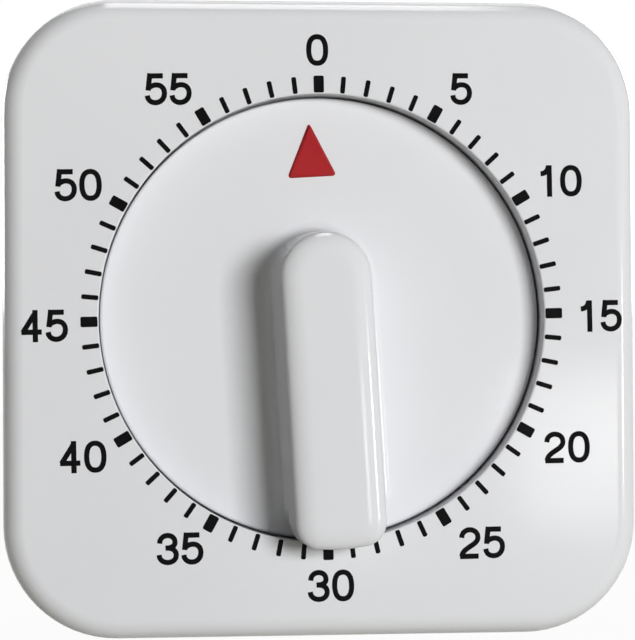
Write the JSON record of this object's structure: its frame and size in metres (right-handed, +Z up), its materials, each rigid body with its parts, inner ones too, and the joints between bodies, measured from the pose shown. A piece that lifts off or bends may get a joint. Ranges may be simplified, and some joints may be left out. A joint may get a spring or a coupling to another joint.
{
  "type": "mechanical kitchen timer",
  "caption": "Square white wind-up kitchen timer with a recessed turning dial, grip bar and red pointer, and a clockwork movement that rings a bell.",
  "frame": {"origin": "middle of the lower side, on the surface that the timer stands on", "axes": "+Z up towards 12 o'clock, -Y out of the dial towards the user, +X to the right seen from the front"},
  "size_m": [0.07, 0.035, 0.07],
  "materials": {
    "white_plastic": "glossy moulded ABS",
    "pointer_red": "glossy red inlay",
    "brass": "stamped brass, lightly brushed",
    "steel": "turned bright steel",
    "spring_steel": "blued spring strip",
    "bell_nickel": "nickel-plated steel",
    "ferrite": "matt sintered ferrite"
  },
  "bodies": {
    "case": {"front_case": "white_plastic", "rear_cover": "white_plastic", "rear_magnet": "ferrite", "case_screws": "steel", "movement_screws": "steel", "front_plate": "brass", "rear_plate": "brass", "plate_pillars": "steel", "pillar_nuts": "steel", "spring_post": "steel", "mainspring": "spring_steel", "bell": "bell_nickel", "bell_post": "steel", "bell_nut": "steel"},
    "dial": {"dial_knob": "white_plastic", "pointer_mark": "pointer_red", "main_arbor": "steel", "arbor_clip": "steel", "release_cam": "brass", "clutch_washer": "steel", "clutch_collar": "brass"},
    "main_wheel": {"main_wheel": "brass"},
    "second_arbor": {"second_arbor": "steel", "second_wheel": "brass", "strike_star": "brass"},
    "third_arbor": {"third_arbor": "steel", "third_wheel": "brass"},
    "escape_arbor": {"escape_arbor": "steel", "escape_wheel": "brass"},
    "balance": {"balance_staff": "steel", "balance_wheel": "brass", "pallet_anchor": "steel"},
    "hammer": {"hammer_arbor": "steel", "release_lever": "steel", "strike_lever": "steel", "hammer_arm": "steel", "hammer_head": "brass"}
  },
  "joints": [
    {"name": "dial_turn", "type": "hinge", "parent": "case", "child": "dial", "pos_m": [0, 0, 0.035], "axis": [0, 1, 0], "range_deg": [0, 355]},
    {"name": "main_turn", "type": "hinge", "parent": "case", "child": "main_wheel", "pos_m": [0, 0, 0.035], "axis": [0, 1, 0], "continuous": true},
    {"name": "second_turn", "type": "hinge", "parent": "case", "child": "second_arbor", "pos_m": [-0.00826, 0, 0.0468], "axis": [0, 1, 0], "continuous": true},
    {"name": "third_turn", "type": "hinge", "parent": "case", "child": "third_arbor", "pos_m": [-0.01674, 0, 0.03831], "axis": [0, 1, 0], "continuous": true},
    {"name": "escape_turn", "type": "hinge", "parent": "case", "child": "escape_arbor", "pos_m": [-0.01414, 0, 0.02857], "axis": [0, 1, 0], "continuous": true},
    {"name": "balance_swing", "type": "hinge", "parent": "case", "child": "balance", "pos_m": [-0.00867, 0, 0.02206], "axis": [0, 1, 0], "range_deg": [-20, 20]},
    {"name": "hammer_swing", "type": "hinge", "parent": "case", "child": "hammer", "pos_m": [0.00361, 0, 0.04889], "axis": [0, 1, 0], "range_deg": [-5, 2.5]}
  ],
  "couplings": [
    {"joint": "second_turn", "follows": "main_turn", "ratio": -9},
    {"joint": "third_turn", "follows": "main_turn", "ratio": 81},
    {"joint": "escape_turn", "follows": "main_turn", "ratio": -648}
  ]
}
